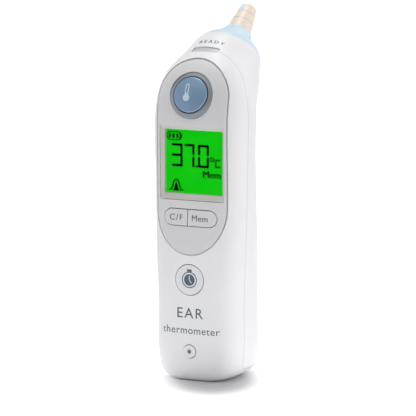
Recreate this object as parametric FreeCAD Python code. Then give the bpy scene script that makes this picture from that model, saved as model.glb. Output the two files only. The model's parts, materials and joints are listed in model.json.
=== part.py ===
"""Digital ear thermometer, standing on its flat base.

Millimetres. +Z is up, the display faces -Y, +X is to the display's right.
The origin is the centre of the flat base.
"""
import FreeCAD
import Part
import math
import os

V = FreeCAD.Vector

# ---- driving dimensions -------------------------------------------------

WALL = 2.0              # thickness of both housing shells
LAP = 0.7               # thickness of the lip that laps behind the seam
SEAM_Y = -1.8           # the plane where the two housings meet
SEAM_Z = 3.6            # height where the seam turns to the rear
SEAM_GAP = 0.16
PANEL_T = 1.2           # control panel thickness
GAP = 0.3               # gap around the keys and buttons
PANEL_FIT = 0.12        # play between the panel and its bed
GROOVE = (0.55, 0.5)    # width and depth of the shallow groove round the panel

# Each station of the outer skin: front point (y, z), rear point (y, z),
# half width, roundness exponent of the front half and of the rear half.
STATIONS = [
    ((-16.7, 26.0), (20.1, 25.0), 17.9, 4.4, 3.7),
    ((-16.6, 55.0), (18.1, 54.0), 18.7, 4.4, 3.5),
    ((-15.9, 84.0), (15.3, 82.0), 19.3, 4.3, 3.3),
    ((-16.3, 106.0), (14.3, 98.5), 19.7, 4.0, 3.2),
    ((-15.4, 119.0), (15.5, 105.2), 19.5, 3.6, 3.1),
    ((-11.9, 128.8), (19.0, 109.9), 18.2, 3.1, 2.9),
    ((-5.9, 134.5), (24.6, 114.3), 16.5, 2.6, 2.6),
    ((1.5, 138.8), (29.1, 118.6), 15.1, 2.2, 2.2),
    ((9.5, 142.8), (30.9, 123.6), 14.1, 2.0, 2.0),
]
BASE_FRONT = (-16.3, 17.4, 4.3)     # front y, half width, exponent where the base rounding ends
BASE_REAR = (20.4, 3.7)             # rear y and exponent there
BASE_ROUND = (7.0, 6.8, 3.6)        # front rounding: height, inset in x, inset in y
BASE_ROUND_REAR = (4.6, 2.4)        # rear rounding: height, inset in y
BASE_STEPS = (0, 18, 38, 60, 90)    # degrees round the quarter turn of that rounding

# control panel on the front
PANEL_HW = 15.6
PANEL_TOP = (117.2, 16.0)           # centre height and semi-axis of its upper end
PANEL_BOTTOM = (72.3, 18.9)

# display
POCKET = (-14.4, 14.8, 75.6, 106.4)
LIT = (-13.1, 13.1, 78.0, 104.4)
BEZEL_Y = -12.0                     # front face of the frame round the glass
BOARD_Y = -9.4                      # front face of the main board
BOARD_T = 1.2

# measure button: centre of its recess, tilt of its axis
BTN_Y, BTN_Z, BTN_TILT = -14.9, 119.2, 18.0
BTN_R, RING_R = 7.45, 9.65
RING_RISE = 0.6                     # how much the ring climbs from its outer edge to the button

# keys
PILL = (-11.6, 11.9, 65.25, 71.95)
PILL_R = 3.34
PILL_SPLIT = -1.0
TIMER_Z, TIMER_R = 42.8, 6.3
RELEASE_Z, RELEASE_R = 12.75, 2.75

# probe: heights w are measured along its axis from P0, towards the tip
P0_Y, P0_Z, PROBE_TILT = 31.7, 142.6, 48.0
SLEEVE_W = (-3.25, 1.9, 6.2, 10.4)          # segment ends along the axis
SLEEVE_R = (5.4, 4.8, 4.15, 3.6)
BAND_W = 0.5
COLLAR_EDGE_R, COLLAR_GAP = 13.95, 0.25     # edge radius, and the gap to the head's rim
COLLAR_BORE = 5.55
CORE_STEP = -3.4                            # where the core starts to taper, under the first sleeve
COLLAR = [                                  # centre y, z, tilt and radius of the rings above the edge
    (21.9, 135.0, 43.0, 12.6),
    (24.0, 136.6, 44.5, 10.2),
    (26.0, 138.0, 46.0, 8.1),
    (27.7, 139.3, 47.0, 6.7),
    (29.17, 140.33, 48.0, 6.05),
]
COLLAR_T = 1.2
EJECT_TRAVEL = 3.0

# battery bay
CELL_R, CELL_X, CELL_Y = 7.15, 7.3, 6.6
CELL_BODY, CELL_NUB = 49.2, 1.0
BAY_Z = (16.8, 68.9)                        # between the two contact plates
DOOR_HW, DOOR_Z = 15.1, 7.6
DOOR_T = 1.8
DOOR_GAP = 0.25
HINGE_Y, HINGE_Z = 14.2, 71.5
HINGE_R, PIN_R, KNUCKLE = 1.9, 0.7, 7.0     # barrel radius, pin radius, half length of barrel
BARREL_ROOM = 0.85                          # clearance round the barrel in the housing
SWEEP_R = 3.2                               # the edge round the hinge axis that the door turns about

BOARD_SCREWS = [(-11.2, 31.0), (11.2, 31.0), (-11.0, 113.0), (11.0, 113.0)]
CASE_SCREWS = [(-10.2, 11.0), (10.2, 11.0)]

FAR = 80.0                                  # beyond the object in any direction
POINTS = 32                                 # points round a section


# ---- geometry helpers ---------------------------------------------------

def closed_spline(points):
    """One smooth closed wire with evenly spaced parameters."""
    curve = Part.BSplineCurve()
    steps = [i / len(points) for i in range(len(points) + 1)]
    curve.interpolate(Points=points, PeriodicFlag=True, Parameters=steps)
    return Part.Wire([curve.toShape()])


def section(front, rear, half_width, n_front, n_rear, inset):
    """A rounded section in the plane through front and rear, drawn in by inset."""
    a = V(0, front[0], front[1])
    b = V(0, rear[0], rear[1])
    depth = (b - a).Length / 2
    across = (b - a) / (2 * depth)
    centre = (a + b) / 2
    points = []
    for i in range(POINTS):
        turn = 2 * math.pi * i / POINTS
        c, s = math.cos(turn), math.sin(turn)
        n = n_rear if s >= 0 else n_front
        k = (abs(c) ** n + abs(s) ** n) ** (-1.0 / n)
        points.append(centre + V((half_width - inset) * c * k, 0, 0) + across * ((depth - inset) * s * k))
    return closed_spline(points)


def base_stations():
    """Sections round the bottom edge, following a quarter ellipse."""
    height, in_x, in_front = BASE_ROUND
    height_rear, in_rear = BASE_ROUND_REAR
    found = []
    for degrees in BASE_STEPS:
        s = 1 - math.sin(math.radians(degrees))
        rise = 1 - math.cos(math.radians(degrees))
        found.append((
            (BASE_FRONT[0] + in_front * s, height * rise), (BASE_REAR[0] - in_rear * s, height_rear * rise),
            BASE_FRONT[1] - in_x * s, BASE_FRONT[2] - 0.9 * s, BASE_REAR[1] + 0.6 * s))
    return found


SKINS = {}


def skin(inset):
    """The solid inside the outer skin, drawn in by inset."""
    if inset not in SKINS:
        wires = [section(*station, inset) for station in base_stations() + STATIONS]
        SKINS[inset] = Part.makeLoft(wires, True, False, False, 5)
    return SKINS[inset]


def box(x0, x1, y0, y1, z0, z1):
    return Part.makeBox(x1 - x0, y1 - y0, z1 - z0, V(x0, y0, z0))


def rounded_outline(x0, x1, z0, z1, r):
    """A rounded rectangle in the XZ plane at y = 0, as a wire."""
    h = r * math.sqrt(0.5)
    corners = [(x1 - r, z1 - r, 1, 1), (x0 + r, z1 - r, -1, 1), (x0 + r, z0 + r, -1, -1), (x1 - r, z0 + r, 1, -1)]
    edges = []
    for i, (x, z, sx, sz) in enumerate(corners):
        along_x = V(x + sx * r, 0, z)
        along_z = V(x, 0, z + sz * r)
        first, last = (along_x, along_z) if i % 2 == 0 else (along_z, along_x)
        edges.append(Part.Arc(first, V(x + sx * h, 0, z + sz * h), last).toShape())
    for i in range(4):
        start = edges[i].Vertexes[-1].Point
        end = edges[(i + 1) % 4].Vertexes[0].Point
        if (end - start).Length > 1e-6:
            edges.append(Part.LineSegment(start, end).toShape())
    return Part.Wire(Part.__sortEdges__(edges))


def prism_y(wire, y0, y1):
    """Extrude an XZ outline from y0 to y1."""
    face = Part.Face(wire)
    face.translate(V(0, y0, 0))
    return face.extrude(V(0, y1 - y0, 0))


def panel_prism(grow):
    """The control panel's outline, swept through the front of the body."""
    hw = PANEL_HW + grow
    top_z, top_r = PANEL_TOP[0], PANEL_TOP[1] + grow
    low_z, low_r = PANEL_BOTTOM[0], PANEL_BOTTOM[1] + grow
    low = Part.Ellipse(V(0, 0, low_z + low_r), V(hw, 0, low_z), V(0, 0, low_z))
    top = Part.Ellipse(V(0, 0, top_z - top_r), V(hw, 0, top_z), V(0, 0, top_z))
    edges = [Part.ArcOfEllipse(arc, math.pi / 2, 3 * math.pi / 2).toShape() for arc in (low, top)]
    for x in (-hw, hw):
        edges.append(Part.LineSegment(V(x, 0, low_z), V(x, 0, top_z)).toShape())
    return prism_y(Part.Wire(Part.__sortEdges__(edges)), -FAR, 0)


def pocket_prism(limits, grow, r, y0, y1):
    x0, x1, z0, z1 = limits
    return prism_y(rounded_outline(x0 - grow, x1 + grow, z0 - grow, z1 + grow, r), y0, y1)


def along(shape, y, z, tilt):
    """Put a shape built round +Z onto an axis in the YZ plane, tilt degrees back from +Z."""
    moved = shape.copy()
    place = FreeCAD.Placement(V(0, y, z), FreeCAD.Rotation(V(1, 0, 0), -tilt))
    moved.Placement = place.multiply(shape.Placement)
    return moved


def on_probe(shape):
    return along(shape, P0_Y, P0_Z, PROBE_TILT)


def on_button(shape):
    return along(shape, BTN_Y, BTN_Z, BTN_TILT - 90)


def tube(r_out, r_in, w0, w1):
    outer = Part.makeCylinder(r_out, w1 - w0, V(0, 0, w0))
    return outer.cut(Part.makeCylinder(r_in, w1 - w0, V(0, 0, w0)))


def revolved(profile):
    """Turn a list of (r, w) points round +Z."""
    points = [V(r, 0, w) for r, w in profile]
    face = Part.Face(Part.makePolygon(points + points[:1]))
    return face.revolve(V(0, 0, 0), V(0, 0, 1), 360)


def rod_y(x, z, r, y0, y1):
    return Part.makeCylinder(r, y1 - y0, V(x, y0, z), V(0, 1, 0))


def rod_x(y, z, r, x0, x1):
    return Part.makeCylinder(r, x1 - x0, V(x0, y, z), V(1, 0, 0))


def coil(radius, wire_r, height, turns):
    """A compression spring round +Z, standing on z = 0."""
    path = Part.makeHelix((height - 2 * wire_r) / turns, height - 2 * wire_r, radius)
    path.translate(V(0, 0, wire_r))
    profile = Part.Wire([Part.makeCircle(wire_r, V(radius, 0, wire_r), V(0, 1, 0))])
    return Part.Wire(path.Edges).makePipeShell([profile], True, True)


# ---- the two housings ---------------------------------------------------

def rear_zone(grow):
    """Everything behind the seam, which turns to the rear above the base."""
    y, z, r = SEAM_Y - grow, SEAM_Z - grow, 3.0
    edges = [
        Part.LineSegment(V(0, y, 2 * FAR), V(0, y, z + r)).toShape(),
        Part.Arc(V(0, y, z + r), V(0, y + r - r * math.sqrt(0.5), z + r - r * math.sqrt(0.5)),
                 V(0, y + r, z)).toShape(),
        Part.LineSegment(V(0, y + r, z), V(0, FAR, z)).toShape(),
        Part.LineSegment(V(0, FAR, z), V(0, FAR, 2 * FAR)).toShape(),
        Part.LineSegment(V(0, FAR, 2 * FAR), V(0, y, 2 * FAR)).toShape(),
    ]
    face = Part.Face(Part.Wire(edges))
    face.translate(V(-FAR, 0, 0))
    return face.extrude(V(2 * FAR, 0, 0))


def shell():
    hollow = skin(WALL).common(box(-FAR, FAR, -FAR, FAR, WALL + 0.4, 2 * FAR))
    return skin(0).cut(hollow)


def status_slot(grow, depth):
    """The slot across the top of the head, square to its slope."""
    slope, length, width = 29.0, 12.0, 3.6
    x = length / 2 + grow
    h = width / 2 + grow
    block = box(-x, x, -h, h, -depth, 4.0)
    upright = [e for e in block.Edges if abs(e.Vertexes[0].Z - e.Vertexes[1].Z) > 1.0]
    block = block.makeFillet(0.9, upright)
    block.Placement = FreeCAD.Placement(V(0, -2.0, 137.2), FreeCAD.Rotation(V(1, 0, 0), slope))
    return block


def front_housing():
    body = shell().cut(rear_zone(SEAM_GAP))
    lip = skin(WALL).cut(skin(WALL + LAP)).common(rear_zone(1.3)).cut(rear_zone(-1.3))
    body = body.fuse(lip)
    body = body.cut(panel_prism(PANEL_FIT).cut(skin(PANEL_T)))
    body = body.cut(panel_prism(GROOVE[0]).cut(skin(GROOVE[1])))
    posts = [rod_y(x, z, 2.2, -15.2, BOARD_Y) for x, z in BOARD_SCREWS]
    posts += [rod_y(x, z, 2.3, -15.0, 1.6) for x, z in CASE_SCREWS]
    rib = box(-5.0, 5.0, -8.0, -6.8, 2.0, 15.0)
    body = body.multiFuse([part.common(skin(1.4)) for part in posts + [rib]])
    holes = [
        on_button(Part.makeCylinder(BTN_R + 0.9, 30.0, V(0, 0, -6.0))),
        pocket_prism(POCKET, 0.0, 0.8, -FAR, BOARD_Y),
        pocket_prism(PILL, GAP, PILL_R + GAP, -FAR, BOARD_Y),
        rod_y(0, TIMER_Z, TIMER_R + GAP, -FAR, BOARD_Y),
        rod_y(0, RELEASE_Z, RELEASE_R + 0.25, -FAR, BOARD_Y - 2.0),
        rod_y(0, RELEASE_Z, 1.6, -FAR, 0.0),
        status_slot(0.0, 5.0),
    ]
    holes += [rod_y(x, z, 0.95, -13.2, 0.0) for x, z in BOARD_SCREWS]
    holes += [rod_y(x, z, 1.0, -6.0, 3.0) for x, z in CASE_SCREWS]
    for hole in holes:
        body = body.cut(hole)
    return body


def door_opening():
    """What the battery door leaves open in the rear housing, hinge lugs kept."""
    grown = DOOR_HW + DOOR_GAP
    cut = pocket_prism((-grown, grown, DOOR_Z - DOOR_GAP, HINGE_Z), 0.0, 2.6, 9.0, FAR)
    cut = cut.fuse(box(-grown, grown, 9.0, FAR, HINGE_Z - 20.0, HINGE_Z))
    for side in (-1, 1):
        x0, x1 = sorted((side * (KNUCKLE + 0.3), side * grown))
        cut = cut.cut(rod_x(HINGE_Y, HINGE_Z, SWEEP_R, x0, x1))
    return cut.fuse(rod_x(HINGE_Y, HINGE_Z, HINGE_R + BARREL_ROOM, -KNUCKLE - 0.3, KNUCKLE + 0.3))


def rear_housing():
    body = shell().common(rear_zone(0.0))
    lugs = []
    for side in (-1, 1):
        x0, x1 = sorted((side * (KNUCKLE + 0.3), side * (DOOR_HW + 0.6)))
        lugs.append(rod_x(HINGE_Y, HINGE_Z, SWEEP_R, x0, x1))
    bulkhead = box(-FAR, FAR, 2.0, 6.2, SEAM_Z + 1.5, 14.8)
    extras = [part.common(skin(1.0)) for part in lugs + [bulkhead]]
    body = body.cut(door_opening()).multiFuse(extras)
    holes = [
        rod_x(HINGE_Y, HINGE_Z, PIN_R, -12.0, 12.0),
        rod_y(0, RELEASE_Z, 1.7, 0.0, 8.0),
        status_slot(0.0, 5.0),
        slider_slot(),
    ]
    holes += [rod_y(x, z, 1.05, 0.0, 8.0) for x, z in CASE_SCREWS]
    for hole in holes:
        body = body.cut(hole)
    return body


# ---- control panel, display and keys ------------------------------------

def control_panel():
    body = panel_prism(0.0).common(skin(0)).cut(skin(PANEL_T))
    holes = [
        on_button(Part.makeCylinder(RING_R + 0.05, 30.0, V(0, 0, -6.0))),
        pocket_prism(POCKET, 0.0, 0.8, -FAR, 0.0),
        pocket_prism(PILL, GAP, PILL_R + GAP, -FAR, 0.0),
    ]
    for hole in holes:
        body = body.cut(hole)
    return body


def button_ring():
    """A raised ring that climbs from the panel to the button, its underside on the housing."""
    inner = BTN_R + 0.3
    outline = [(inner, -5.0), (RING_R, -5.0), (RING_R, -0.15), (RING_R - 0.15, 0.0),
               (inner + 0.25, RING_RISE), (inner, RING_RISE - 0.2)]
    ring = on_button(revolved(outline)).cut(skin(PANEL_T))
    foot = on_button(tube(BTN_R + 0.85, inner, -3.2, 0.0))
    return ring.fuse(foot).removeSplitter()


def measure_button():
    """A shallow dome on a skirt, with a stem down to its switch."""
    edge, crown = 1.2, 2.1
    dome = Part.makeSphere(31.0, V(0, 0, crown - 31.0))
    body = Part.makeCylinder(BTN_R, 10.0, V(0, 0, -1.6)).common(dome)
    rim = [e for e in body.Edges if abs(e.BoundBox.ZMin - edge) < 0.2 and e.BoundBox.ZLength < 0.01]
    body = body.makeFillet(0.7, rim)
    body = body.cut(tube(BTN_R - 1.0, 1.6, -1.6, -0.4))
    stem = Part.makeCylinder(1.6, 3.2, V(0, 0, -3.6))
    return on_button(body.fuse(stem).removeSplitter())


def display_window():
    return pocket_prism(POCKET, -0.1, 0.7, BEZEL_Y - 0.6, BEZEL_Y)


def lcd_frame():
    body = pocket_prism(POCKET, -0.1, 0.7, BEZEL_Y, BOARD_Y)
    body = body.cut(pocket_prism(LIT, 0.0, 0.5, BEZEL_Y - 1.0, BOARD_Y))
    return body.cut(box(-13.9, 13.9, BEZEL_Y + 0.7, BOARD_Y, 76.7, 105.3))


def lcd_panel():
    return pocket_prism(LIT, -0.05, 0.45, BEZEL_Y + 0.1, BEZEL_Y + 0.7)


def lcd_backlight():
    return box(-13.8, 13.8, BEZEL_Y + 0.7, BEZEL_Y + 2.5, 78.9, 105.2)


def zebra_strip():
    return box(-12.0, 12.0, BEZEL_Y + 0.7, BOARD_Y, 76.9, 78.7)


def key_body(outline, flange, proud):
    """A key that follows the skin, with a wider flange behind the wall."""
    cap = outline.common(skin(-proud)).cut(skin(WALL + 0.3))
    back = flange.common(skin(WALL + 0.3)).cut(skin(WALL + 1.1))
    return cap.fuse(back).removeSplitter()


def pill_key(x0, x1, stem_x):
    whole = pocket_prism(PILL, 0.0, PILL_R, -FAR, 0.0)
    wide = pocket_prism(PILL, 0.8, PILL_R + 0.8, -FAR, 0.0)
    half = box(x0, x1, -FAR, 0.0, 60.0, 80.0)
    body = key_body(whole.common(half), wide.common(half), 0.22)
    z = (PILL[2] + PILL[3]) / 2
    return body.fuse(rod_y(stem_x, z, 1.2, -13.4, -11.6)).removeSplitter()


def units_key():
    return pill_key(-FAR, PILL_SPLIT - 0.2, -6.9)


def memory_key():
    return pill_key(PILL_SPLIT + 0.2, FAR, 5.3)


def timer_button():
    body = key_body(rod_y(0, TIMER_Z, TIMER_R, -FAR, 0), rod_y(0, TIMER_Z, TIMER_R + 1.0, -FAR, 0), 0.12)
    return body.fuse(rod_y(0, TIMER_Z, 1.2, -14.0, -11.6)).removeSplitter()


def door_release_button():
    disc = key_body(rod_y(0, RELEASE_Z, RELEASE_R, -FAR, 0), rod_y(0, RELEASE_Z, RELEASE_R + 0.9, -FAR, 0), 0.5)
    return disc.cut(rod_y(0, RELEASE_Z, 0.95, -FAR, -14.2))


def release_rod():
    return rod_y(0, RELEASE_Z, 1.3, -12.9, 12.6)


def latch_spring():
    spring = coil(2.1, 0.2, 3.4, 3)
    spring.Placement = FreeCAD.Placement(V(0, -8.05, RELEASE_Z), FreeCAD.Rotation(V(1, 0, 0), 90))
    return spring


# ---- electronics --------------------------------------------------------

def main_board():
    body = box(-13.4, 13.4, BOARD_Y, BOARD_Y + BOARD_T, 17.0, 124.0).common(skin(3.1))
    for x, z in BOARD_SCREWS:
        body = body.cut(rod_y(x, z, 1.05, -FAR, FAR))
    return body


def board_chips():
    """Packages on the rear face of the board: x, z, width, height, thickness."""
    packages = [
        (0.0, 58.0, 9.0, 9.0, 1.2), (-8.5, 62.0, 4.0, 6.0, 1.0), (8.5, 50.0, 3.0, 7.0, 1.6),
        (-6.5, 36.0, 5.0, 3.2, 1.1), (7.0, 80.0, 6.0, 5.0, 1.1), (0.0, 118.5, 7.0, 3.0, 1.5),
    ]
    rear = BOARD_Y + BOARD_T
    return Part.makeCompound([
        box(x - w / 2, x + w / 2, rear, rear + t, z - h / 2, z + h / 2) for x, z, w, h, t in packages])


def switch_places():
    """x, z and bore radius of each push switch."""
    pill_z = (PILL[2] + PILL[3]) / 2
    return [(0.0, BTN_Z - 1.2, 2.4), (-6.9, pill_z, 1.5), (5.3, pill_z, 1.5), (0.0, TIMER_Z, 1.5)]


def tact_switches():
    made = []
    for x, z, r in switch_places():
        body = box(x - 3.0, x + 3.0, BOARD_Y - 2.4, BOARD_Y, z - 3.0, z + 3.0)
        made.append(body.cut(rod_y(x, z, r, BOARD_Y - 3.0, BOARD_Y - 0.6)))
    return Part.makeCompound(made)


def buzzer():
    rear = BOARD_Y + BOARD_T
    can = rod_y(0, 98.0, 6.0, rear, rear + 2.6)
    return can.cut(rod_y(0, 98.0, 1.2, rear + 1.4, rear + 3.0))


def status_led():
    rear = BOARD_Y + BOARD_T
    return box(-1.6, 1.6, rear, rear + 2.4, 121.4, 123.2)


def status_light_pipe():
    head = status_slot(-0.1, 3.2).common(skin(0.55))
    stem = Part.Face(Part.makePolygon([
        V(-2.4, -1.0, 135.0), V(-2.4, 1.1, 136.1), V(-2.4, -5.8, 123.6), V(-2.4, -8.0, 123.6), V(-2.4, -1.0, 135.0)]))
    return head.fuse(stem.extrude(V(4.8, 0, 0))).removeSplitter()


def board_screws():
    rear = BOARD_Y + BOARD_T
    made = []
    for x, z in BOARD_SCREWS:
        head = rod_y(x, z, 1.8, rear, rear + 1.3).cut(rod_y(x, z, 0.6, rear + 0.6, rear + 2.0))
        made.append(head.fuse(rod_y(x, z, 0.95, -13.0, rear)).removeSplitter())
    return Part.makeCompound(made)


def case_screws():
    made = []
    for x, z in CASE_SCREWS:
        head = rod_y(x, z, 1.9, 6.2, 7.7).cut(rod_y(x, z, 0.7, 7.0, 8.0))
        made.append(head.fuse(rod_y(x, z, 1.0, -5.8, 6.2)).removeSplitter())
    return Part.makeCompound(made)


# ---- battery bay --------------------------------------------------------

def battery_tray():
    """Back wall, two side walls and the end walls that hold the contacts."""
    z0, z1 = BAY_Z
    outer = box(-15.4, 15.4, -1.9, 9.5, z0 - 1.6, z1 + 1.6)
    inner = box(-14.6, 14.6, -0.75, 20.0, z0 - 0.4, z1 + 0.4)
    body = outer.cut(inner).common(skin(WALL + LAP + 0.05))
    keel = box(-0.12, 0.12, -0.75, 3.0, z0 + 4.0, z1 - 4.0)
    return body.fuse(keel).removeSplitter()


def battery(x, nub_up):
    z0, z1 = BAY_Z
    if nub_up:
        can = z1 - CELL_NUB - CELL_BODY
        nub = z1 - CELL_NUB
    else:
        can = z0 + CELL_NUB
        nub = z0
    body = Part.makeCylinder(CELL_R, CELL_BODY, V(x, CELL_Y, can))
    rims = [e for e in body.Edges if e.Closed]
    body = body.makeFillet(0.5, rims)
    return body.fuse(Part.makeCylinder(2.75, CELL_NUB, V(x, CELL_Y, nub)))


def battery_left():
    return battery(-CELL_X, True)


def battery_right():
    return battery(CELL_X, False)


def battery_springs():
    gap = BAY_Z[1] - BAY_Z[0] - CELL_BODY - CELL_NUB
    low = coil(3.4, 0.25, gap, 2)
    low.translate(V(-CELL_X, CELL_Y, BAY_Z[0]))
    high = coil(3.4, 0.25, gap, 2)
    high.translate(V(CELL_X, CELL_Y, BAY_Z[1] - gap))
    return Part.makeCompound([low, high])


def battery_contacts():
    """Plates under each cell end, and a link plate across the top."""
    z0, z1 = BAY_Z
    y0, y1 = CELL_Y - 5.0, CELL_Y + 2.8
    plates = [box(x - 5.0, x + 5.0, y0, y1, z0 - 0.4, z0) for x in (-CELL_X, CELL_X)]
    plates.append(box(-CELL_X - 5.0, CELL_X + 5.0, y0, y1, z1, z1 + 0.4))
    return Part.makeCompound(plates)


def battery_door():
    walls = skin(0).cut(skin(DOOR_T))
    area = pocket_prism((-DOOR_HW, DOOR_HW, DOOR_Z, HINGE_Z), 0.0, 2.4, 9.0, FAR)
    area = area.fuse(box(-DOOR_HW, DOOR_HW, 9.0, FAR, HINGE_Z - 20.0, HINGE_Z))
    body = walls.common(area)
    for side in (-1, 1):
        x0, x1 = sorted((side * KNUCKLE, side * FAR))
        body = body.cut(rod_x(HINGE_Y, HINGE_Z, SWEEP_R + 0.25, x0, x1))
    barrel = rod_x(HINGE_Y, HINGE_Z, HINGE_R, -KNUCKLE, KNUCKLE)
    ribs = [box(x - 0.5, x + 0.5, 15.2, 19.0, 14.0, 62.0).common(skin(DOOR_T - 0.5)) for x in (-0.9, 0.9)]
    body = body.multiFuse([barrel] + ribs)
    return body.cut(rod_x(HINGE_Y, HINGE_Z, PIN_R + 0.08, -FAR, FAR))


def door_latch():
    """The snap hook inside the door's lower edge."""
    arm = box(-3.0, 3.0, 12.6, 19.0, 8.4, 9.6).common(skin(DOOR_T))
    tooth = box(-3.0, 3.0, 12.6, 13.8, 7.7, 8.4)
    return arm.fuse(tooth).removeSplitter()


def hinge_pin():
    return rod_x(HINGE_Y, HINGE_Z, PIN_R, -11.8, 11.8)


# ---- probe and ejector --------------------------------------------------

def ring_section(y, z, tilt, radius):
    t = math.radians(tilt)
    centre = V(0, y, z)
    down = V(0, math.cos(t), -math.sin(t))
    points = []
    for i in range(POINTS):
        turn = 2 * math.pi * i / POINTS
        points.append(centre + V(radius * math.cos(turn), 0, 0) + down * (radius * math.sin(turn)))
    return closed_spline(points)


def collar_edge():
    """The collar's lowest ring, parallel to the rim of the head."""
    (y0, z0), (y1, z1) = STATIONS[-1][:2]
    tilt = math.atan2(z0 - z1, y1 - y0)
    y = (y0 + y1) / 2 + COLLAR_GAP * math.sin(tilt)
    z = (z0 + z1) / 2 + COLLAR_GAP * math.cos(tilt)
    return y, z, math.degrees(tilt), COLLAR_EDGE_R


def collar_solid(inset, back):
    """The collar's outer form, drawn in by inset and slid back down the probe axis."""
    t = math.radians(PROBE_TILT)
    wires = []
    for y, z, tilt, radius in [collar_edge()] + COLLAR:
        wires.append(ring_section(y - back * math.sin(t), z - back * math.cos(t), tilt, radius - inset))
    return Part.makeLoft(wires, True, False, False, 5)


SKIRT_R = 9.6
LINK_W = (-24.5, -23.3)
STOP_W = (-18.2, -17.2)
NECK_E = 15.0                               # where the link's neck meets the slider, out from the axis


def ejector_collar():
    """The flared collar round the probe, with a skirt inside the head."""
    body = collar_solid(0.0, 0.0).cut(collar_solid(COLLAR_T, COLLAR_T))
    body = body.cut(on_probe(Part.makeCylinder(COLLAR_BORE, 60.0, V(0, 0, -40.0))))
    skirt = on_probe(tube(SKIRT_R, SKIRT_R - 1.0, LINK_W[1], -8.0)).common(collar_solid(0.3, 0.3).fuse(
        on_probe(Part.makeCylinder(SKIRT_R, 11.0, V(0, 0, LINK_W[1])))))
    return body.fuse(skirt).removeSplitter()


def slider_slot():
    """The slot behind the head that the slider's neck runs in."""
    return on_probe(box(-1.9, 1.9, 9.0, 19.0, -24.9, -21.0 + EJECT_TRAVEL))


def ejector_link():
    """A ring under the skirt, with a neck out to the slider."""
    ring = tube(SKIRT_R, 5.1, LINK_W[0], LINK_W[1])
    neck = box(-1.6, 1.6, 8.0, NECK_E, LINK_W[0], -21.4)
    neck = neck.cut(Part.makeCylinder(SKIRT_R, 20.0, V(0, 0, LINK_W[1])))
    return on_probe(ring.fuse(neck).removeSplitter())


def ejector_slider():
    """The ribbed thumb pad on the back of the head."""
    outline = box(-5.2, 5.2, 11.0, 24.0, -29.6, -14.2)
    corners = [e for e in outline.Edges if abs(e.Vertexes[0].Y - e.Vertexes[1].Y) > 1.0]
    outline = outline.makeFillet(3.0, corners)
    pad = on_probe(outline).common(skin(-1.3)).cut(skin(-0.35))
    grips = []
    for i in range(5):
        w = -26.2 + 2.1 * i
        bar = on_probe(box(-3.6, 3.6, 11.0, 24.0, w, w + 0.8))
        grips.append(bar.common(skin(-1.75)).cut(skin(-0.9)))
    stub = on_probe(box(-1.6, 1.6, 14.0, 20.0, LINK_W[0], -21.4)).common(skin(-0.9))
    stub = stub.cut(on_probe(box(-2.0, 2.0, 8.0, NECK_E, -30.0, -10.0)))
    return pad.multiFuse(grips + [stub])


def probe_core():
    """The tube that carries the sensor, with its spring stop and mounting foot."""
    outline = [(4.6, -29.5), (4.6, CORE_STEP), (SLEEVE_R[0] - 0.9, CORE_STEP), (SLEEVE_R[3] - 0.9, SLEEVE_W[3]),
               (1.75, SLEEVE_W[3]), (1.75, 1.0), (2.75, 1.0), (2.75, -29.5)]
    stop = tube(7.0, 4.6, STOP_W[0], STOP_W[1])
    foot = box(-12.5, 12.5, -8.0, 8.0, -31.0, -29.5).cut(Part.makeCylinder(2.75, 4.0, V(0, 0, -32.0)))
    foot = on_probe(foot).common(skin(WALL + LAP + 0.1))
    return on_probe(revolved(outline).fuse(stop)).fuse(foot).removeSplitter()


def radius_at(w):
    """Outer radius of the probe at w along its axis."""
    for i in range(3):
        if w <= SLEEVE_W[i + 1]:
            share = (w - SLEEVE_W[i]) / (SLEEVE_W[i + 1] - SLEEVE_W[i])
            return SLEEVE_R[i] + share * (SLEEVE_R[i + 1] - SLEEVE_R[i])
    return SLEEVE_R[3]


def core_radius(w):
    share = (w - CORE_STEP) / (SLEEVE_W[3] - CORE_STEP)
    return SLEEVE_R[0] - 0.9 + share * (SLEEVE_R[3] - SLEEVE_R[0])


def conical_shell(w0, w1, recess):
    """A piece of the probe's outside between two heights."""
    return [(core_radius(w0), w0), (radius_at(w0) - recess, w0), (radius_at(w1) - recess, w1), (core_radius(w1), w1)]


def probe_sleeves():
    """Three sleeve segments with a band between each pair, the last one rounded over."""
    made = [
        revolved(conical_shell(SLEEVE_W[0], SLEEVE_W[1] - BAND_W / 2, 0.0)),
        revolved(conical_shell(SLEEVE_W[1] + BAND_W / 2, SLEEVE_W[2] - BAND_W / 2, 0.0)),
    ]
    start, end = SLEEVE_W[2] + BAND_W / 2, SLEEVE_W[3]
    tip = [(core_radius(start), start), (radius_at(start), start), (SLEEVE_R[3], end), (SLEEVE_R[3] - 0.2, end + 0.5),
           (SLEEVE_R[3] - 0.65, end + 0.85), (2.1, end + 0.95), (2.1, end), (core_radius(end), end)]
    made.append(revolved(tip))
    return on_probe(Part.makeCompound(made))


def probe_bands():
    made = [revolved(conical_shell(w - BAND_W / 2, w + BAND_W / 2, 0.12)) for w in SLEEVE_W[1:3]]
    return on_probe(Part.makeCompound(made))


def tip_window():
    return on_probe(Part.makeCylinder(2.1, 0.5, V(0, 0, SLEEVE_W[3])))


def wave_guide():
    return on_probe(tube(1.75, 1.45, 1.2, SLEEVE_W[3]))


def thermopile_sensor():
    can = Part.makeCylinder(2.6, 3.0, V(0, 0, -2.0))
    flange = Part.makeCylinder(2.75, 0.5, V(0, 0, -2.4))
    return on_probe(can.fuse(flange).removeSplitter())


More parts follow.
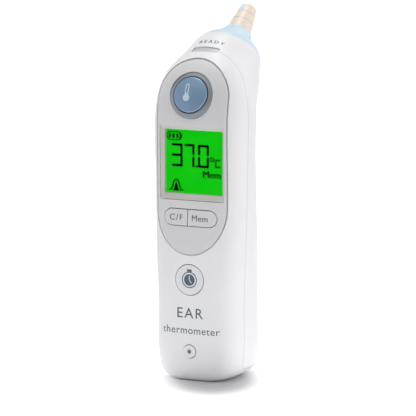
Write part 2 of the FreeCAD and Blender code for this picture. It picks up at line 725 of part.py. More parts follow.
def sensor_flex():
    """A flat lead from the sensor, down the core and across to the board."""
    t = math.radians(PROBE_TILT)
    thick = 0.3
    ends = [P0_Y - 2.7 * math.sin(t), P0_Z - 2.7 * math.cos(t)]
    bend = [P0_Y - 33.0 * math.sin(t), P0_Z - 33.0 * math.cos(t)]
    board = BOARD_Y + BOARD_T + 1.5
    profile = [
        (ends[0], ends[1]), (bend[0], bend[1]), (board, bend[1] - 1.6),
        (board, bend[1] - 1.6 - thick), (bend[0] + thick, bend[1] - thick), (ends[0] + thick, ends[1] - thick)]
    points = [V(-2.0, y, z) for y, z in profile]
    return Part.Face(Part.makePolygon(points + points[:1])).extrude(V(4.0, 0, 0))


def ejector_spring():
    spring = coil(6.0, 0.2, 1.8, 2)
    spring.translate(V(0, 0, STOP_W[0] - 1.85))
    return on_probe(spring)


# ---- write every piece --------------------------------------------------

PIECES = [
    front_housing, rear_housing, control_panel, button_ring, measure_button, display_window, lcd_frame,
    lcd_panel, lcd_backlight, zebra_strip, units_key, memory_key, timer_button, door_release_button,
    release_rod, latch_spring, main_board, board_chips, tact_switches, buzzer, status_led, status_light_pipe,
    board_screws, case_screws, battery_tray, battery_left, battery_right, battery_springs, battery_contacts,
    battery_door, door_latch, hinge_pin, ejector_collar, ejector_link, ejector_slider, ejector_spring,
    probe_core, probe_sleeves, probe_bands, tip_window, wave_guide, thermopile_sensor, sensor_flex,
]

os.makedirs("parts", exist_ok=True)
for piece in PIECES:
    shape = piece()
    print(piece.__name__, len(shape.Solids), shape.isValid(), round(shape.Volume, 1))
    shape.exportStep("parts/" + piece.__name__ + ".step")
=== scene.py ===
"""Looks of the digital ear thermometer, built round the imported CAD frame.

Metres, in the CAD frame: the display faces -Y, +Z is up. Sizes of marks are given in millimetres.
"""

import json
import math

import bmesh
import bpy
from mathutils import Matrix, Vector
from mathutils.bvhtree import BVHTree
from mathutils.geometry import tessellate_polygon


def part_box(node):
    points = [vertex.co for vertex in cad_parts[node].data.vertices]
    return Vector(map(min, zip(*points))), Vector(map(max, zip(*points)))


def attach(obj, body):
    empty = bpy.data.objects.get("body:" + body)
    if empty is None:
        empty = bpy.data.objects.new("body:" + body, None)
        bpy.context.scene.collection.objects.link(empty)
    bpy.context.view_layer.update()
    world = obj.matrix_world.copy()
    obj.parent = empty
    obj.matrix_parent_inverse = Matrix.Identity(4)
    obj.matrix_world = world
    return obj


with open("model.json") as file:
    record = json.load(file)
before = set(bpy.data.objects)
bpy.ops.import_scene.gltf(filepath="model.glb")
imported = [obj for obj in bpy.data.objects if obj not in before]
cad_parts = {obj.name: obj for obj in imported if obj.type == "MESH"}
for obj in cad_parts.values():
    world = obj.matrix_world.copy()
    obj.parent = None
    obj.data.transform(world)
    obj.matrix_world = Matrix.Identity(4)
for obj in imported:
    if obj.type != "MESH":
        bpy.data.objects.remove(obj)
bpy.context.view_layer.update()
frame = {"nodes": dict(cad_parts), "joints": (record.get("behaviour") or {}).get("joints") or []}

MM = 0.001
NODES = frame["nodes"]
JOINTS = {joint["name"]: joint for joint in frame["joints"]}


# ---- finishes ------------------------------------------------------------

def tone(red, green, blue):
    """A display colour, 0 to 255, as linear light."""
    def linear(value):
        value /= 255
        return value / 12.92 if value <= 0.04045 else ((value + 0.055) / 1.055) ** 2.4
    return (linear(red), linear(green), linear(blue), 1.0)


def scaled(colour, share):
    return (colour[0] * share, colour[1] * share, colour[2] * share, 1.0)


class Finish:
    """A Principled material with short ways to add nodes to it."""

    def __init__(self, name, **sockets):
        self.material = bpy.data.materials.new(name)
        self.material.use_nodes = True
        self.tree = self.material.node_tree
        self.shader = self.tree.nodes["Principled BSDF"]
        self.place = self.node("ShaderNodeTexCoord").outputs["Object"]
        for socket, value in sockets.items():
            self.shader.inputs[socket.replace("_", " ")].default_value = value

    def node(self, kind, inputs=(), **settings):
        made = self.tree.nodes.new(kind)
        for key, value in settings.items():
            setattr(made, key, value)
        for key, value in dict(inputs).items():
            if isinstance(value, bpy.types.NodeSocket):
                self.tree.links.new(value, made.inputs[key])
            else:
                made.inputs[key].default_value = value
        return made

    def feed(self, socket, output):
        self.tree.links.new(output, self.shader.inputs[socket])

    def noise(self, size, detail=3.0, stretch=(1, 1, 1)):
        """Cloudy noise whose blotches are about size millimetres."""
        place = self.node("ShaderNodeMapping", {"Vector": self.place, "Scale": stretch})
        return self.node("ShaderNodeTexNoise", {
            "Vector": place.outputs["Vector"], "Scale": 1 / (size * MM), "Detail": detail}).outputs["Fac"]

    def spread(self, fac, low, high, start=0.3, end=0.7):
        made = self.node("ShaderNodeMapRange", {
            "Value": fac, "From Min": start, "From Max": end, "To Min": low, "To Max": high})
        return made.outputs["Result"]

    def mix(self, fac, first, second):
        made = self.node("ShaderNodeMix", {"Factor": fac}, data_type="RGBA")
        for socket, value in ((made.inputs[6], first), (made.inputs[7], second)):
            if isinstance(value, bpy.types.NodeSocket):
                self.tree.links.new(value, socket)
            else:
                socket.default_value = value
        return made.outputs[2]

    def maths(self, operation, first, second=0.0):
        return self.node("ShaderNodeMath", {0: first, 1: second}, operation=operation).outputs["Value"]

    def along(self, axis):
        """The place along one axis of the frame, in millimetres."""
        split = self.node("ShaderNodeSeparateXYZ", {"Vector": self.place})
        return self.maths("MULTIPLY", split.outputs[axis], 1000.0)

    def eased_edges(self, radius):
        """Normals rounded over each edge, by radius in millimetres."""
        return self.node("ShaderNodeBevel", {"Radius": radius * MM}, samples=4).outputs["Normal"]

    def bump(self, height, depth, normal=None):
        """Relief of depth millimetres."""
        inputs = {"Height": height, "Distance": depth * MM, "Strength": 1.0}
        if normal is not None:
            inputs["Normal"] = normal
        return self.node("ShaderNodeBump", inputs).outputs["Normal"]


def moulded(name, colour, rough, grain=0.35, relief=0.004, mottle=0.012, edge=0.18, **sockets):
    """Injection-moulded plastic: spark-eroded grain, slow mottling, eased edges, and a colour a little
    lighter on sharp edges.
    """
    made = Finish(name, **sockets)
    slow = made.noise(17.0, 2.0)
    body = made.mix(made.spread(slow, 0.0, 1.0), scaled(colour, 1 - mottle), scaled(colour, 1 + mottle))
    # The colour turns a little lighter where the surface is sharply convex, along edges.
    lighter_on_sharp_edges = made.spread(made.node("ShaderNodeNewGeometry").outputs["Pointiness"], 0.0, 0.35, 0.52, 0.6)
    made.feed("Base Color", made.mix(lighter_on_sharp_edges, body, scaled(colour, 1.06)))
    handled = made.noise(5.5, 4.0)
    made.feed("Roughness", made.spread(handled, rough - 0.035, rough + 0.035))
    fine = made.noise(grain, 2.0)
    made.feed("Normal", made.bump(fine, relief, made.eased_edges(edge)))
    return made


def brushed(name, colour, rough, stretch=(1, 1, 9), size=0.12):
    """Bare metal with fine drawn lines."""
    made = Finish(name, Metallic=1.0)
    lines = made.noise(size, 3.0, stretch)
    streaks = made.mix(made.spread(lines, 0.0, 1.0), scaled(colour, 0.86), scaled(colour, 1.08))
    made.feed("Base Color", streaks)
    made.feed("Roughness", made.spread(made.noise(2.0), rough - 0.06, rough + 0.08))
    made.feed("Normal", made.bump(lines, 0.002, made.eased_edges(0.06)))
    return made


def backlit_green():
    """The lit liquid crystal: matt, with the slow unevenness of the lamp behind it."""
    made = Finish("finish_display_green", Specular_IOR_Level=0.0, Roughness=0.5)
    cloud = made.spread(made.noise(14.0, 1.0), 0.0, 1.0)
    glow = made.mix(cloud, tone(10, 203, 12), tone(16, 213, 16))
    made.feed("Base Color", made.mix(cloud, tone(4, 40, 4), tone(6, 48, 6)))
    made.feed("Emission Color", glow)
    made.shader.inputs["Emission Strength"].default_value = 0.9
    made.feed("Normal", made.bump(made.noise(0.2, 1.0), 0.001))
    return made


def clear_pane():
    """The coated window over the display: nearly invisible, with a faint gloss."""
    made = Finish("finish_clear_window", Alpha=0.03, Specular_IOR_Level=0.4)
    made.feed("Roughness", made.spread(made.noise(3.0), 0.02, 0.05))
    made.feed("Base Color", made.mix(made.noise(9.0), tone(18, 22, 18), tone(26, 30, 26)))
    return made


def board():
    """Green solder mask with lighter tracks and a woven glass relief."""
    made = Finish("finish_board_green", Coat_Weight=0.3, Coat_Roughness=0.2)
    upright = made.node("ShaderNodeMapping", {
        "Vector": made.place, "Rotation": (math.pi / 2, 0, 0), "Scale": (420, 420, 420)})
    tracks = made.node("ShaderNodeTexBrick", {
        "Vector": upright.outputs["Vector"], "Color1": (0, 0, 0, 1), "Color2": (0.1, 0.1, 0.1, 1),
        "Mortar": (1, 1, 1, 1), "Mortar Size": 0.03}).outputs["Fac"]
    mask = made.mix(tracks, tone(22, 96, 58), tone(48, 138, 84))
    made.feed("Base Color", mask)
    made.feed("Roughness", made.spread(made.noise(1.5), 0.28, 0.42))
    made.feed("Normal", made.bump(tracks, 0.02, made.bump(made.noise(0.5), 0.004)))
    return made


def cell_wrap():
    """The cells' printed sleeve, with bare steel at their ends and a pale band."""
    made = Finish("finish_cell_wrap")
    facing = made.node("ShaderNodeSeparateXYZ", {
        "Vector": made.node("ShaderNodeNewGeometry").outputs["Normal"]}).outputs["Z"]
    end = made.maths("GREATER_THAN", made.maths("ABSOLUTE", facing), 0.6)
    height = made.along("Z")
    band_low, band_high = 24.0, 33.0
    band = made.maths("MULTIPLY", made.maths("GREATER_THAN", height, band_low),
                      made.maths("LESS_THAN", height, band_high))
    sleeve = made.mix(band, tone(52, 66, 84), tone(196, 202, 208))
    flecked = made.mix(made.spread(made.noise(0.8), 0.0, 0.12), sleeve, tone(120, 130, 142))
    made.feed("Base Color", made.mix(end, flecked, tone(190, 192, 195)))
    made.feed("Metallic", end)
    made.feed("Roughness", made.spread(made.noise(2.5), 0.26, 0.4))
    made.feed("Normal", made.bump(made.noise(0.6), 0.003, made.eased_edges(0.1)))
    return made


def ribbed_rubber():
    """The strip of thin conductive layers that joins the glass to the board."""
    made = Finish("finish_elastomer_strip", Roughness=0.6)
    wave = made.node("ShaderNodeTexWave", {"Vector": made.place, "Scale": 1100.0}, bands_direction="X")
    layers = wave.outputs["Fac"]
    made.feed("Base Color", made.mix(layers, tone(205, 170, 110), tone(60, 52, 46)))
    made.feed("Normal", made.bump(layers, 0.02))
    return made


def printed(name, colour, rough=0.5, **sockets):
    """Pad-printed ink: slightly uneven cover."""
    made = Finish(name, **sockets)
    cover = made.spread(made.noise(0.6), 0.0, 1.0)
    made.feed("Base Color", made.mix(cover, scaled(colour, 0.94), scaled(colour, 1.06)))
    made.feed("Roughness", made.spread(made.noise(1.2), rough - 0.05, rough + 0.05))
    made.feed("Normal", made.bump(made.noise(0.25), 0.002))
    return made.material


WHITE = tone(238, 238, 240)
FINISHES = {
    "housing_white": moulded("finish_housing_white", WHITE, 0.44, Specular_IOR_Level=0.4),
    "panel_grey": moulded("finish_panel_grey", tone(218, 218, 220), 0.36),
    "ring_grey": moulded("finish_ring_grey", tone(150, 154, 159), 0.34, mottle=0.03, Metallic=0.4),
    "button_blue": moulded("finish_button_blue", tone(128, 157, 187), 0.34, relief=0.002, Metallic=0.35,
                           Coat_Weight=0.5, Coat_Roughness=0.12),
    "clear_window": clear_pane(),
    "bezel_grey": moulded("finish_bezel_grey", tone(224, 214, 218), 0.4),
    "display_green": backlit_green(),
    "diffuser_white": moulded("finish_diffuser_white", tone(224, 240, 224), 0.5),
    "elastomer_strip": ribbed_rubber(),
    "key_grey": moulded("finish_key_grey", tone(220, 220, 222), 0.38, edge=0.25),
    "key_white": moulded("finish_key_white", tone(232, 232, 234), 0.34, edge=0.25),
    "inner_plastic": moulded("finish_inner_plastic", tone(206, 208, 211), 0.48, relief=0.008),
    "steel": brushed("finish_steel", tone(196, 198, 202), 0.28),
    "board_green": board(),
    "package_black": moulded("finish_package_black", tone(44, 44, 46), 0.5, grain=0.2, mottle=0.1),
    "led_clear": moulded("finish_led_clear", tone(236, 236, 210), 0.2, Transmission_Weight=0.5),
    "light_pipe": moulded("finish_light_pipe", tone(214, 216, 219), 0.3, Transmission_Weight=0.15),
    "cell_wrap": cell_wrap(),
    "contact_brass": brushed("finish_contact_brass", tone(214, 184, 118), 0.3, (9, 1, 1)),
    "collar_blue": moulded("finish_collar_blue", tone(212, 234, 247), 0.36),
    "core_white": moulded("finish_core_white", tone(226, 228, 230), 0.42),
    "sleeve_beige": moulded("finish_sleeve_beige", tone(243, 226, 208), 0.42, grain=0.25),
    "tip_lens": moulded("finish_tip_lens", tone(96, 102, 112), 0.1, relief=0.0005, Coat_Weight=0.8),
    "flex_amber": moulded("finish_flex_amber", tone(214, 150, 62), 0.3, grain=1.2),
}

for node in NODES.values():
    for place in node.material_slots:
        place.material = FINISHES[place.material.name].material

INK_BLACK = printed("ink_display_black", tone(16, 10, 18), 0.7, Specular_IOR_Level=0.0)
INK_GREY = printed("ink_key_grey", tone(122, 124, 130))
INK_SLATE = printed("ink_slate", tone(84, 98, 114))
INK_LABEL = printed("ink_label_grey", tone(88, 98, 108))
INK_PALE = printed("ink_pale_blue", tone(196, 220, 232), 0.35)
INK_SKY = printed("ink_sky_blue", tone(216, 234, 248), 0.4)


# ---- flat shapes, in millimetres: lists of points and faces --------------

def disc(x, z, radius, sides=36, rings=3):
    points, faces = [(x, z)], []
    for ring in range(1, rings + 1):
        r = radius * ring / rings
        points += [(x + r * math.cos(2 * math.pi * i / sides), z + r * math.sin(2 * math.pi * i / sides))
                   for i in range(sides)]
    for i in range(sides):
        j = (i + 1) % sides
        faces.append((0, 1 + i, 1 + j))
        for ring in range(rings - 1):
            a = 1 + ring * sides
            faces.append((a + i, a + sides + i, a + sides + j, a + j))
    return points, faces


def stroke(path, width, closed=False):
    """A band of one width, or of a width for each point, along a path."""
    count = len(path)
    widths = width if isinstance(width, (list, tuple)) else [width] * count
    points = []
    for i, (x, z) in enumerate(path):
        before = path[(i - 1) % count] if closed or i > 0 else path[i]
        after = path[(i + 1) % count] if closed or i < count - 1 else path[i]
        turn_in = Vector((x - before[0], z - before[1]))
        turn_out = Vector((after[0] - x, after[1] - z))
        ways = [way.normalized() for way in (turn_in, turn_out) if way.length > 1e-9]
        ahead = (ways[0] + ways[-1]).normalized()
        side = Vector((-ahead.y, ahead.x))
        reach = widths[i] / 2 / max(0.5, side.dot(Vector((-ways[0].y, ways[0].x))))
        points += [(x + side.x * reach, z + side.y * reach), (x - side.x * reach, z - side.y * reach)]
    faces = []
    for i in range(count if closed else count - 1):
        a, b = 2 * i, 2 * ((i + 1) % count)
        faces.append((a, a + 1, b + 1, b))
    return points, faces


def filled(outline, *holes):
    loops = [outline, *holes]
    triangles = tessellate_polygon([[Vector((x, z, 0)) for x, z in loop] for loop in loops])
    return [point for loop in loops for point in loop], [tuple(t) for t in triangles]


def arc(x, z, radius, start, end, steps=16):
    """Points on an arc, from start to end in degrees."""
    turns = [math.radians(start + (end - start) * i / steps) for i in range(steps + 1)]
    return [(x + radius * math.cos(t), z + radius * math.sin(t)) for t in turns]


def smooth(points, steps=8):
    """A curve through the given points."""
    ends = [points[0]] + list(points) + [points[-1]]
    made = []
    for i in range(1, len(ends) - 2):
        p = [Vector(q) for q in ends[i - 1:i + 3]]
        for k in range(steps):
            t = k / steps
            q = 0.5 * (2 * p[1] + (p[2] - p[0]) * t + (2 * p[0] - 5 * p[1] + 4 * p[2] - p[3]) * t * t
                       + (3 * p[1] - p[0] - 3 * p[2] + p[3]) * t ** 3)
            made.append((q.x, q.y))
    return made + [tuple(points[-1])]


def rounded_box(x0, x1, z0, z1, radius):
    corners = [(x1 - radius, z1 - radius, 0), (x0 + radius, z1 - radius, 90),
               (x0 + radius, z0 + radius, 180), (x1 - radius, z0 + radius, 270)]
    return [point for x, z, start in corners for point in arc(x, z, radius, start, start + 90, 6)]


def lettering(words, x, z, height, spacing=1.0, weight=0.0):
    """Plain letters of the built-in typeface, centred at x, z, with capitals of that height."""
    curve = bpy.data.curves.new("words", "FONT")
    curve.body = words
    curve.align_x = "CENTER"
    curve.space_character = spacing
    curve.resolution_u = 4
    curve.offset = weight
    capital = 0.69                      # height of a capital in a typeface of size 1
    curve.size = height / capital
    holder = bpy.data.objects.new("words", curve)
    bpy.context.scene.collection.objects.link(holder)
    bpy.context.view_layer.update()
    mesh = bpy.data.meshes.new_from_object(holder)
    points = [(v.co.x + x, v.co.y + z - height / 2) for v in mesh.vertices]
    faces = [tuple(p.vertices) for p in mesh.polygons]
    bpy.data.objects.remove(holder)
    bpy.data.curves.remove(curve)
    bpy.data.meshes.remove(mesh)
    return points, faces


def struck(words, x, z, height, spacing, bold):
    """Letters printed twice, side by side, so that their strokes come out bolder."""
    return [lettering(words, x + shift, z, height, spacing) for shift in (-bold, bold)]


# ---- marks laid on the object --------------------------------------------

def flat_at(y):
    """Lays a mark on an upright plane."""
    return lambda x, z: (Vector((x * MM, y, z * MM)), Vector((0, -1, 0)))


def laid_on(node, origin, across, up):
    """Lays a mark on a node's surface, seen square to across and up. Marks are measured from origin."""
    mesh = NODES[node].data
    tree = BVHTree.FromPolygons([v.co.copy() for v in mesh.vertices],
                                [tuple(p.vertices) for p in mesh.polygons])
    outward = across.cross(up)
    far = 0.1

    def lay(x, z):
        start = origin + across * (x * MM) + up * (z * MM) + outward * far
        place, normal, _, _ = tree.ray_cast(start, -outward)
        if normal.dot(outward) < 0:
            normal.negate()
        return place, normal
    return lay


def flat_mesh(points, faces, finest):
    """A shape in the XY plane, facing +Z, its edges halved until none is over finest millimetres."""
    bm = bmesh.new()
    verts = [bm.verts.new((x, z, 0)) for x, z in points]
    for face in faces:
        bm.faces.new([verts[i] for i in face])
    bmesh.ops.remove_doubles(bm, verts=bm.verts, dist=1e-4)
    loose = [v for v in bm.verts if not v.link_faces]
    bmesh.ops.delete(bm, geom=loose, context="VERTS")
    for _ in range(4):
        long = [e for e in bm.edges if e.calc_length() > finest]
        if long:
            bmesh.ops.subdivide_edges(bm, edges=long, cuts=1)
            bmesh.ops.triangulate(bm, faces=[f for f in bm.faces if len(f.verts) > 3])
    bm.verts.index_update()
    seen, twins = set(), []
    for face in bm.faces:
        key = frozenset(v.index for v in face.verts)
        if key in seen or face.calc_area() < 1e-6:
            twins.append(face)
        seen.add(key)
        face.normal_update()
        if face.normal.z < 0:
            face.normal_flip()
    bmesh.ops.delete(bm, geom=twins, context="FACES")
    return bm


def lay_down(bm, lay, lift, sink):
    """Gives a flat shape a back and a rim, and lays it on a surface."""
    laid = {v: lay(v.co.x, v.co.y) for v in bm.verts}
    tops = list(bm.faces)
    rims = [e.link_loops[0] for e in bm.edges if len(e.link_faces) == 1]
    sides = [(loop.link_loop_next.vert, loop.vert) for loop in rims]
    below = {v: bm.verts.new(place - normal * (sink * MM)) for v, (place, normal) in laid.items()}
    for a, b in sides:
        bm.faces.new((a, b, below[b], below[a]))
    for face in tops:
        bm.faces.new([below[v] for v in reversed(face.verts)])
    for vert, (place, normal) in laid.items():
        vert.co = place + normal * (lift * MM)
    bmesh.ops.recalc_face_normals(bm, faces=bm.faces)


def mark(name, shapes, lay, body, ink, lift=0.03, sink=0.03, finest=0.6):
    """Thin closed layers in the given shapes, laid on a surface and riding on a body."""
    whole = bmesh.new()
    for points, faces in shapes:
        bm = flat_mesh(points, faces, finest)
        lay_down(bm, lay, lift, sink)
        part = bpy.data.meshes.new("part")
        bm.to_mesh(part)
        bm.free()
        whole.from_mesh(part)
        bpy.data.meshes.remove(part)
    mesh = bpy.data.meshes.new(name)
    whole.to_mesh(mesh)
    whole.free()
    made = bpy.data.objects.new(name, mesh)
    bpy.context.scene.collection.objects.link(made)
    made.data.materials.append(ink)
    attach(made, body)
    return made


# ---- what the display shows ----------------------------------------------

SEGMENT = 1.06              # width of a digit's segments
DIGIT_Z = (88.95, 98.55)


def bar(x0, z0, x1, z1, width=SEGMENT):
    """One segment with pointed ends."""
    tip = width * 0.42
    length = math.hypot(x1 - x0, z1 - z0)
    ux, uz = (x1 - x0) / length, (z1 - z0) / length
    stations = [(0, 0.3), (tip, 1.0), (length - tip, 1.0), (length, 0.3)]
    path = [(x0 + ux * s, z0 + uz * s) for s, _ in stations]
    return stroke(path, [width * share for _, share in stations])


def digit(lit, x0, x1):
    """A seven-segment digit: t, m and b are its level bars, l and r the upper sides, L and R the lower."""
    low, high = DIGIT_Z[0] + SEGMENT / 2, DIGIT_Z[1] - SEGMENT / 2
    left, right, middle = x0 + SEGMENT / 2, x1 - SEGMENT / 2, (low + high) / 2
    gap = 0.22
    places = {
        "t": (x0, high, x1, high), "m": (x0, middle, x1, middle), "b": (x0, low, x1, low),
        "l": (left, middle + gap, left, high + SEGMENT / 2),
        "r": (right, middle + gap, right, high + SEGMENT / 2),
        "L": (left, low - SEGMENT / 2, left, middle - gap),
        "R": (right, low - SEGMENT / 2, right, middle - gap),
    }
    return [bar(*places[key]) for key in lit]


def battery_icon(x0, x1, z0, z1):
    """A rounded cell with three charge bars and a thick right end."""
    middle, half = (z0 + z1) / 2, (z1 - z0) / 2
    line = 0.42
    outline = arc(x0 + half, middle, half, 90, 270, 14) + arc(x1 - half, middle, half, -90, 90, 14)
    cap = arc(x1 - half, middle, half, -62, 62, 12)
    cap_widths = [line + 0.55 * math.sin(math.pi * i / 12) for i in range(13)]
    shapes = [stroke(outline, line, True), stroke(cap, cap_widths)]
    first, pitch, width, height = x0 + 0.85, 1.75, 1.0, half - 0.72
    for i in range(2):
        x = first + pitch * i
        shapes.append(filled([(x, middle - height), (x + width, middle - height),
                              (x + width, middle + height), (x, middle + height)]))
    x = first + pitch * 2
    end = [(x + 0.45 + (px - x) * 0.7, pz) for px, pz in arc(x, middle, height, -90, 90, 10)]
    shapes.append(filled([(x, middle + height), (x, middle - height)] + end))
    return shapes


def cover_icon(x, z, width, height):
    """A probe in its cover: a filled bell inside a bell-shaped line with flared feet."""
    half = width / 2

    def bell(points, share):
        side = smooth([(u * half * share, v * height) for u, v in points])
        return side + [(-u, v) for u, v in reversed(side[:-1])]
    outer = bell([(-1.0, 0.05), (-0.62, 0.2), (-0.42, 0.62), (-0.26, 0.9), (0.0, 1.0)], 1.0)
    inner = bell([(-0.7, 0.0), (-0.34, 0.16), (-0.2, 0.5), (0.0, 0.8)], 1.0)
    line = stroke([(x + u, z + v) for u, v in outer], 0.6)
    body = filled([(x + u, z + v) for u, v in inner])
    return [line, body]


def display_content():
    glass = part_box("lcd_panel")[0].y
    shapes = battery_icon(-12.7, -6.2, 99.95, 103.3)
    shapes += digit("trmRb", -10.45, -5.42)
    shapes += digit("trR", -4.6, 0.0)
    shapes += [disc(0.95, 89.35, 0.5)]      # the decimal point
    shapes += digit("tlrLRb", 1.55, 6.6)
    shapes += [stroke(arc(8.0, 92.6, 0.76, 0, 345, 22), 0.52, True)]      # the degree sign
    left, right, low, high = 9.7, 11.8, 89.65, 92.5
    shapes += [stroke([(right, high), (left, high), (left, low), (right, low)], 0.58)]
    shapes += struck("Mem", 7.85, 86.35, 2.85, 1.02, 0.14)
    shapes += cover_icon(-8.4, 78.85, 6.5, 4.7)
    return mark("display_segments", shapes, flat_at(glass), "root", INK_BLACK, lift=0.06, sink=0.0,
                finest=50.0)


# ---- marks on the buttons and the housing --------------------------------

def button_icon():
    """The thermometer on the measure button."""
    joint = JOINTS["measure_press"]
    inward = Vector(joint["axis"]).normalized()
    across = Vector((1, 0, 0))
    up = (-inward).cross(across).normalized()
    low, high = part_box("measure_button")
    centre = (low + high) / 2
    lay = laid_on("measure_button", centre, across, up)
    x, bulb_z, bulb_r = -1.25, -1.4, 1.5
    stem_r, top, slot_foot, wall = 0.86, 4.5, 0.85, 0.44
    join = math.degrees(math.asin(stem_r / bulb_r))
    slot_r = stem_r - wall
    outline = arc(x, bulb_z, bulb_r, 90 + join, 450 - join, 28) + arc(x, top - stem_r, stem_r, 0, 180, 12)
    slot = arc(x, top - stem_r, slot_r, 0, 180, 8) + arc(x, slot_foot, slot_r, 180, 360, 8)
    return mark("button_icon", [filled(outline, slot)], lay, "measure_body", INK_PALE, finest=0.45)


def timer_icon():
    low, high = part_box("timer_button")
    lay = laid_on("timer_button", Vector((0, 0, (low.z + high.z) / 2)), Vector((1, 0, 0)), Vector((0, 0, 1)))
    rim = stroke(arc(0, 0, 3.22, 0, 354, 60), 0.42, True)
    crown = filled([(-1.2, 3.45), (1.2, 3.45), (1.0, 4.4), (-1.0, 4.4)])
    face = disc(0, 0, 2.42, 48, 5)
    mark("timer_icon", [rim, crown, face], lay, "timer_body", INK_SLATE)
    hands = stroke([(0.0, 1.7), (-0.05, 0.0), (0.95, -1.3)], 0.42)
    mark("timer_hands", [hands], lay, "timer_body", INK_PALE, lift=0.045)


def key_lettering():
    keys = (("units_key", "units_body", "C/F", 0.55, 1.25),
            ("memory_key", "memory_body", "Mem", -1.45, 1.06))
    for node, body, words, shift, spacing in keys:
        low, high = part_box(node)
        centre = Vector(((low.x + high.x) / 2, 0, (low.z + high.z) / 2))
        lay = laid_on(node, centre, Vector((1, 0, 0)), Vector((0, 0, 1)))
        mark(node + "_lettering", struck(words, shift, 0, 2.5, spacing, 0.05), lay, body, INK_GREY)


def front_lettering():
    lay = laid_on("front_housing", Vector((0, 0, 0)), Vector((1, 0, 0)), Vector((0, 0, 1)))
    words = [lettering("EAR", 0, 28.9, 4.2, 1.22, 0.02),
             lettering("thermometer", 0.4, 21.7, 3.0, 1.09, 0.008)]
    mark("front_lettering", words, lay, "root", INK_LABEL)


def ready_lettering():
    """A small word over the status lamp's slot."""
    slope = math.radians(29)
    up = Vector((0, math.cos(slope), math.sin(slope)))
    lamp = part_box("status_light_pipe")[1]
    lay = laid_on("rear_housing", Vector((0, 0, lamp.z)), Vector((1, 0, 0)), up)
    mark("ready_lettering", struck("READY", 0.6, 3.5, 1.8, 1.6, 0.09), lay, "root", INK_GREY)


def probe_patch():
    """The pale blue patch on the last segment of the probe."""
    joint = JOINTS["ejector_slide"]
    ahead = Vector(joint["axis"]).normalized()
    low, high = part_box("tip_window")
    tip = (low + high) / 2
    outward = Vector((0, -ahead.z, ahead.y))
    outward = Matrix.Rotation(math.radians(-25), 3, ahead) @ outward
    across = ahead.cross(outward)
    lay = laid_on("probe_sleeves", tip, across, ahead)
    mark("probe_patch", [filled(rounded_box(-2.1, 2.1, -3.4, -0.2, 0.6))], lay, "root", INK_SKY)


def outline_round(node, margin, radius):
    """The outline of a node's front view, grown by margin millimetres."""
    low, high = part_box(node)
    return rounded_box(low.x / MM - margin, high.x / MM + margin, low.z / MM - margin, high.z / MM + margin,
                       radius)


def window_rim():
    """The sloping rim that runs from the edge of the control panel down to the display window."""
    edge = outline_round("display_window", 0.0, 0.7)
    beside = outline_round("display_window", 0.3, 1.0)
    foot = outline_round("lcd_panel", 0.1, 0.5)
    lay = laid_on("control_panel", Vector((0, 0, 0)), Vector((1, 0, 0)), Vector((0, 0, 1)))
    over_glass, under_panel = 0.00001, 0.00015
    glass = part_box("display_window")[0].y - over_glass
    points, faces, count = [], [], len(edge)
    for (ex, ez), (bx, bz), (fx, fz) in zip(edge, beside, foot):
        top = lay(bx, bz)[0].y + under_panel
        points += [(ex * MM, top, ez * MM), (ex * MM, glass, ez * MM), (fx * MM, glass, fz * MM)]
    for i in range(count):
        a, b = 3 * i, 3 * ((i + 1) % count)
        faces += [(a + k, b + k, b + (k + 1) % 3, a + (k + 1) % 3) for k in range(3)]
    mesh = bpy.data.meshes.new("window_rim")
    mesh.from_pydata(points, [], faces)
    bm = bmesh.new()
    bm.from_mesh(mesh)
    bmesh.ops.recalc_face_normals(bm, faces=bm.faces)
    bm.to_mesh(mesh)
    bm.free()
    rim = bpy.data.objects.new("window_rim", mesh)
    bpy.context.scene.collection.objects.link(rim)
    rim.data.materials.append(FINISHES["bezel_grey"].material)
    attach(rim, "root")


display_content()
window_rim()
button_icon()
timer_icon()
key_lettering()
front_lettering()
ready_lettering()
probe_patch()


# ---- studio ----------------------------------------------------------------

AZIMUTH, ELEVATION = math.radians(26), math.radians(9)       # where the camera stands


def towards(azimuth, elevation):
    """A direction from the object, azimuth turning from -Y to +X, both in radians."""
    return Vector((math.sin(azimuth) * math.cos(elevation), -math.cos(azimuth) * math.cos(elevation),
                   math.sin(elevation)))


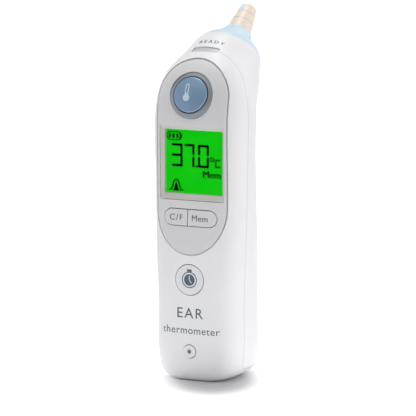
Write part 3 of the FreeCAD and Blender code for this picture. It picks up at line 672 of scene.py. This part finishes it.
def floor():
    """A pale floor with a painted soft grey shadow before the object, and a glow round that painted shadow.
    """
    size, below_object = 6.0, 0.00003
    bm = bmesh.new()
    bmesh.ops.create_grid(bm, x_segments=4, y_segments=4, size=size)
    mesh = bpy.data.meshes.new("studio_floor")
    bm.to_mesh(mesh)
    bm.free()
    made = bpy.data.objects.new("studio_floor", mesh)
    made.location.z = -below_object
    bpy.context.scene.collection.objects.link(made)
    paper = Finish("studio_paper", Roughness=0.9, Specular_IOR_Level=0.1)
    # A grey patch is painted on the floor before the object, placed from where the camera stands: a painted
    # shadow.
    painted_shadow_ahead, painted_shadow_aside, painted_shadow_half = 0.012, 0.0025, (0.018, 0.028, 1)
    aside = Vector((math.cos(AZIMUTH), math.sin(AZIMUTH), 0))
    from_painted_shadow = paper.node("ShaderNodeMapping", {
        "Vector": paper.place, "Location": towards(AZIMUTH, 0) * painted_shadow_ahead + aside * painted_shadow_aside,
        "Rotation": (0, 0, AZIMUTH), "Scale": painted_shadow_half}, vector_type="TEXTURE").outputs["Vector"]
    distance = paper.node("ShaderNodeVectorMath", {0: from_painted_shadow}, operation="LENGTH").outputs["Value"]
    open_floor = paper.mix(paper.noise(40.0), tone(243, 243, 244), tone(245, 245, 246))
    # The floor's colour, darker in the patch: painted shadow.
    patch = paper.mix(paper.spread(distance, 0.0, 1.0, 0.5, 1.15), tone(204, 204, 206), open_floor)
    paper.feed("Base Color", patch)
    paper.feed("Emission Color", paper.mix(paper.noise(40.0), tone(254, 254, 255), tone(255, 255, 255)))
    # The floor glows in a ring round the painted shadow but not in it, which keeps the painted shadow dark;
    # the far floor glows for the camera only.
    glow, glow_start, glow_full, fade_start, fade_end = 0.42, 0.75, 1.35, 3.0, 6.0
    pool = paper.maths("MULTIPLY", paper.spread(distance, 0.0, glow, glow_start, glow_full),
                       paper.spread(distance, 1.0, 0.0, fade_start, fade_end))
    seen = paper.node("ShaderNodeLightPath").outputs["Is Camera Ray"]
    beyond = paper.maths("MULTIPLY", paper.spread(distance, 0.0, glow, fade_start, fade_end), seen)
    paper.feed("Emission Strength", paper.maths("ADD", pool, beyond))
    made.data.materials.append(paper.material)


def studio_light():
    """A pale sky with soft lamps at both sides, behind and above. The camera itself sees plain white."""
    world = bpy.data.worlds.new("studio")
    bpy.context.scene.world = world
    world.use_nodes = True
    tree = world.node_tree
    sky = tree.nodes["Background"]
    direction = tree.nodes.new("ShaderNodeTexCoord").outputs["Generated"]

    def maths(operation, first, second):
        made = tree.nodes.new("ShaderNodeMath")
        made.operation = operation
        for i, value in enumerate((first, second)):
            if isinstance(value, bpy.types.NodeSocket):
                tree.links.new(value, made.inputs[i])
            else:
                made.inputs[i].default_value = value
        return made.outputs["Value"]

    def lobe(axis, start, end, gain):
        """gain for directions near axis, fading out between the two cosines."""
        dot = tree.nodes.new("ShaderNodeVectorMath")
        dot.operation = "DOT_PRODUCT"
        tree.links.new(direction, dot.inputs[0])
        dot.inputs[1].default_value = axis
        fade = tree.nodes.new("ShaderNodeMapRange")
        fade.interpolation_type = "SMOOTHSTEP"
        tree.links.new(dot.outputs["Value"], fade.inputs["Value"])
        for key, value in (("From Min", start), ("From Max", end), ("To Min", 0.0), ("To Max", gain)):
            fade.inputs[key].default_value = value
        return fade.outputs["Result"]

    side_lamps = ((112, 0.35, 1.47), (-84, 0.2, 0.6), (190, 0.2, 0.22))     # azimuth, start and gain
    side_level, side_elevation = 0.1, 0.2
    sides = side_level
    for azimuth, start, gain in side_lamps:
        sides = maths("ADD", sides, lobe(towards(math.radians(azimuth), side_elevation), start, 1.0, gain))
    sky_level = 0.19
    above = maths("ADD", sky_level, lobe(towards(math.radians(-20), math.radians(78)), 0.6, 1.0, 1.0))
    below_zenith = lobe((0, 0, -1), -0.85, -0.1, 1.0)
    level = maths("ADD", above, maths("MULTIPLY", sides, below_zenith))
    seen = tree.nodes.new("ShaderNodeLightPath").outputs["Is Camera Ray"]
    mix = tree.nodes.new("ShaderNodeMix")
    tree.links.new(seen, mix.inputs["Factor"])
    tree.links.new(level, mix.inputs["A"])
    mix.inputs["B"].default_value = 1.0
    tree.links.new(mix.outputs["Result"], sky.inputs["Strength"])
    sky.inputs["Color"].default_value = (1, 1, 1, 1)
    lamp = bpy.data.lights.new("overhead", "SUN")
    lamp.energy = 1.05
    lamp.angle = math.radians(18)
    overhead = bpy.data.objects.new("overhead", lamp)
    bpy.context.scene.collection.objects.link(overhead)
    overhead.rotation_mode = "QUATERNION"
    overhead.rotation_quaternion = towards(math.radians(206), math.radians(77)).to_track_quat("Z", "Y")


def camera():
    distance, lens = 1.3, 271.0
    aim_height, aim_aside = 0.0704, 0.0003
    made = bpy.data.objects.new("camera", bpy.data.cameras.new("camera"))
    bpy.context.scene.collection.objects.link(made)
    back = towards(AZIMUTH, ELEVATION)
    right = Vector((math.cos(AZIMUTH), math.sin(AZIMUTH), 0))
    made.location = Vector((0, 0, aim_height)) + right * aim_aside + back * distance
    made.rotation_mode = "QUATERNION"
    made.rotation_quaternion = back.to_track_quat("Z", "Y")
    made.data.lens = lens
    made.data.sensor_width = 36.0
    made.data.clip_start = 0.05
    bpy.context.scene.camera = made


floor()
studio_light()
camera()
bpy.context.scene.view_settings.view_transform = "Standard"
bpy.context.scene.view_settings.look = "None"
